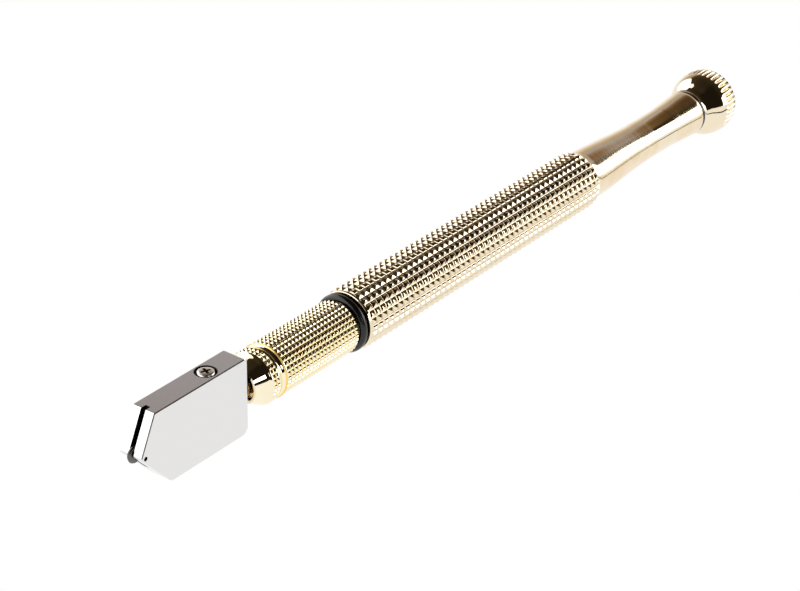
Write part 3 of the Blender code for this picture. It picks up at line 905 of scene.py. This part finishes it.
def build_screw():
    top = SCREW_HIGH.z + SCREW_RISE
    under = top - SCREW_HEAD_THICK
    profile = [
        (SCREW_LOW.z, 0.0),
        (SCREW_LOW.z, SCREW_SHANK_R - 0.15),
        (SCREW_LOW.z + 0.15, SCREW_SHANK_R),
        (under, SCREW_SHANK_R),
        (under, SCREW_HEAD_R),
        (top - 0.34, SCREW_HEAD_R),
        (top - 0.13, SCREW_HEAD_R - 0.12),
        (top - 0.03, SCREW_HEAD_R - 0.45),
        (top, SCREW_HEAD_R - 0.9),
        (top, 0.0),
    ]
    screw = turned(
        "clamp_screw", "head", ZINC_STEEL, "head_screw", profile,
        closed=False, count=64, turn=upright(SCREW.x),
    )
    # The cross recess takes the near-black painted-shade finish.
    cut_and_apply(screw, [drive_wing(DRIVE_TURN, top), drive_wing(DRIVE_TURN + 90, top)])


def build_stem():
    neck_front, neck_rear = SCREW.x - NECK_HALF_WIDTH, SCREW.x + NECK_HALF_WIDTH
    flange_rear = STEM_FRONT + 14.65
    clip_front, clip_rear = cad_stations("stem_clip")
    step = cad_stations("stem_washer")[1] + 0.55
    profile = [
        (STEM_FRONT, STEM_BORE_R),
        (STEM_FRONT, STEM_R),
        (neck_front, STEM_R),
        (neck_front, STEM_NECK_R),
        (neck_rear, STEM_NECK_R),
        (neck_rear, STEM_R),
        (flange_rear - FLANGE_THICK, STEM_R),
        (flange_rear - FLANGE_THICK, FLANGE_R),
        (flange_rear, FLANGE_R),
        (flange_rear, STEM_R),
        (clip_front - 0.15, STEM_R),
        (clip_front - 0.15, STEM_NECK_R),
        (clip_rear + 0.15, STEM_NECK_R),
        (clip_rear + 0.15, STEM_R),
        (step, STEM_R),
        (step, ROD_R),
        (STEM_TIP, ROD_R),
        (STEM_TIP, STEM_BORE_R),
    ]
    turned("hollow_stem", "stem", BRASS, "stem", profile, count=64)


def build_bush():
    pocket = BUSH_REAR - SEAL_POCKET_LENGTH
    profile = [
        (BUSH_FRONT, STEM_R + RUNNING_GAP),
        (BUSH_FRONT, BUSH_R),
        (BUSH_REAR, BUSH_R),
        (BUSH_REAR, SEAL_POCKET_R),
        (pocket, SEAL_POCKET_R),
        (pocket, STEM_R + RUNNING_GAP),
    ]
    turned("guide_sleeve", "handle", BRASS, "guide_bush", profile, edge=0.1)


def build_coil(name, node, turns, wire_r):
    """A compression spring with closed ends."""
    front, rear = cad_stations(node)
    mean_r = cad_radius(node) - wire_r
    first, last = front + wire_r, rear - wire_r
    end_turn = 2.2 * wire_r
    pitch = (last - first - 2 * end_turn) / (turns - 2)
    per_turn, facets = 28, 10
    bm = bmesh.new()
    rings = []
    for k in range(turns * per_turn + 1):
        turn = k / per_turn
        rise = end_turn * min(turn, 1.0)
        rise += pitch * min(max(turn - 1.0, 0.0), turns - 2)
        rise += end_turn * max(turn - (turns - 1), 0.0)
        angle = FULL_TURN * turn
        outward = Vector((0.0, math.cos(angle), math.sin(angle)))
        centre = Vector((first + rise, 0.0, 0.0)) + outward * mean_r
        ring = []
        for j in range(facets):
            spoke = FULL_TURN * j / facets
            offset = outward * math.cos(spoke) + Vector((math.sin(spoke), 0.0, 0.0))
            ring.append(bm.verts.new(centre + offset * wire_r))
        rings.append(ring)
    skin(bm, rings)
    bm.faces.new(rings[0])
    bm.faces.new(rings[-1])
    piece = finish_piece(
        name, bm, "handle", [BRIGHT_STEEL], [node], sharp_angle=50.0
    )
    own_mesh(piece)


def build_gasket():
    front, rear = BARREL_REAR + SEAL_FRONT_GAP, CAP_FRONT - SEAL_REAR_GAP
    outer = cad_radius("cap_gasket") + SEAL_BULGE
    inner = CAP_SPIGOT_R + 0.2
    profile = [(front, inner), (front, outer), (rear, outer), (rear, inner)]
    turned("cap_seal", "cap_gasket", BLACK_RUBBER, "cap_gasket", profile, edge=0.12)


def finish_inner_parts():
    """The parts inside the handle keep their CAD shapes and get their finishes."""
    finishes = {
        "stem_clip": BRIGHT_STEEL,
        "stem_washer": BRIGHT_STEEL,
        "oil_wick": FELT,
        "stem_seal_ring": BLACK_RUBBER,
        "valve_seat": BRASS,
        "valve_ball": BRIGHT_STEEL,
        "spring_retainer": BRASS,
    }
    for node, finish in finishes.items():
        for material_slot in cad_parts[node].material_slots:
            material_slot.material = finish


# ---------------------------------------------------------------------------- studio

def glow(name, strength):
    material = bpy.data.materials.new(name)
    material.use_nodes = True
    tree = material.node_tree
    tree.nodes.clear()
    emission = tree.nodes.new("ShaderNodeEmission")
    emission.inputs["Strength"].default_value = strength
    output = tree.nodes.new("ShaderNodeOutputMaterial")
    tree.links.new(emission.outputs["Emission"], output.inputs["Surface"])
    return material


def direction(azimuth, elevation):
    """A unit vector; azimuth in degrees from +X towards +Y."""
    a, e = math.radians(azimuth), math.radians(elevation)
    return Vector((math.cos(a) * math.cos(e), math.sin(a) * math.cos(e), math.sin(e)))


def panel(name, corners, material):
    """A flat stage panel from four corners in metres."""
    mesh = bpy.data.meshes.new(name)
    mesh.from_pydata(corners, [], [(0, 1, 2, 3)])
    mesh.materials.append(material)
    board = bpy.data.objects.new(name, mesh)
    bpy.context.scene.collection.objects.link(board)
    return board


def soft_box(name, azimuths, elevations, distance, strength):
    """A light panel that fills this range of directions; the camera doesn't see it."""
    (left, right), (low, high) = azimuths, elevations
    corners = [
        ZERO + direction(a, e) * distance
        for a, e in ((left, low), (right, low), (right, high), (left, high))
    ]
    box = panel(name, corners, glow(name, strength))
    box.visible_camera = False


def light_studio():
    """Soft boxes in a studio that is pale low down beyond the tool, and dark above and near."""
    world = bpy.data.worlds.new("studio")
    bpy.context.scene.world = world
    world.use_nodes = True
    tree = world.node_tree
    coords = tree.nodes.new("ShaderNodeTexCoord")
    split = tree.nodes.new("ShaderNodeSeparateXYZ")
    tree.links.new(coords.outputs["Generated"], split.inputs["Vector"])
    beyond = ramp(tree, split.outputs["Z"], [
        (0.0, grey(1.0)), (0.07, grey(0.85)), (0.26, (0.66, 0.57, 0.44)), (0.39, (0.50, 0.40, 0.28)),
        (0.45, (0.44, 0.445, 0.49)), (0.51, (0.44, 0.445, 0.49)), (0.57, (0.31, 0.195, 0.10)),
        (0.63, (0.15, 0.088, 0.035)), (0.71, (0.06, 0.042, 0.02)), (1.0, (0.025, 0.018, 0.01)),
    ])
    near = ramp(tree, split.outputs["X"], [
        (0.0, (0.012, 0.009, 0.006)), (0.5, (0.03, 0.021, 0.010)), (1.0, (0.05, 0.035, 0.016)),
    ])
    sides = tree.nodes.new("ShaderNodeMapRange")
    sides.inputs["From Min"].default_value = -0.35
    sides.inputs["From Max"].default_value = -0.1
    tree.links.new(split.outputs["Y"], sides.inputs["Value"])
    both = tree.nodes.new("ShaderNodeMixRGB")
    tree.links.new(sides.outputs["Result"], both.inputs["Fac"])
    tree.links.new(near, both.inputs["Color1"])
    tree.links.new(beyond, both.inputs["Color2"])
    tree.links.new(both.outputs["Color"], tree.nodes["Background"].inputs["Color"])
    soft_box("right_soft_box", (-64, -8), (-1, 21), 0.9, 3.0)
    soft_box("left_soft_box", (64, 178), (2, 38), 0.9, 2.0)
    soft_box("high_soft_box", (88, 150), (38, 57), 0.9, 1.5)
    soft_box("small_soft_box", (-112, -102), (13, 27), 0.3, 3.0)


def lay_floor():
    half = 6.0
    corners = [(-half, -half, 0.0), (half, -half, 0.0), (half, half, 0.0), (-half, half, 0.0)]
    panel("floor", corners, glow("floor", 1.0))


def lay_dark_strip():
    """A strip beside the tool that only its reflections show, as a thin line low on the metal."""
    near, far = -0.037, -0.029
    left, right = 0.0, 0.5
    over_floor = 0.0001
    outline = ((left, near), (right, near), (right, far), (left, far))
    corners = [(x, y, over_floor) for x, y in outline]
    strip = panel("dark_strip", corners, glow("dark_strip", 0.07))
    strip.visible_camera = False


def place_camera():
    """The camera looks down on the head end from the near side."""
    azimuth, elevation, roll = -52.997, 28.90, 1.019
    distance = 444.8
    target = TO_ROW @ Vector((18.2, 0.0, -1.65))
    data = bpy.data.cameras.new("camera")
    data.lens = 109.18
    data.sensor_width = 36.0
    data.clip_start, data.clip_end = 0.01, 50.0
    camera = bpy.data.objects.new("camera", data)
    bpy.context.scene.collection.objects.link(camera)
    back = direction(azimuth - 90, elevation)
    camera.location = target + back * distance * MM
    camera.rotation_mode = "QUATERNION"
    level = back.to_track_quat("Z", "Y")
    camera.rotation_quaternion = level @ Matrix.Rotation(math.radians(roll), 3, "Z").to_quaternion()
    bpy.context.scene.camera = camera
    bpy.context.scene.view_settings.view_transform = "Standard"


place_camera()
light_studio()
lay_floor()
lay_dark_strip()
build_front_grip()
build_barrel()
build_grip_ring()
build_cap()
build_head()
build_wheel()
build_screw()
build_stem()
build_bush()
build_gasket()
build_coil("plunger_spring", "stem_spring", turns=7, wire_r=0.27)
build_coil("ball_spring", "valve_spring", turns=5, wire_r=0.17)
finish_inner_parts()
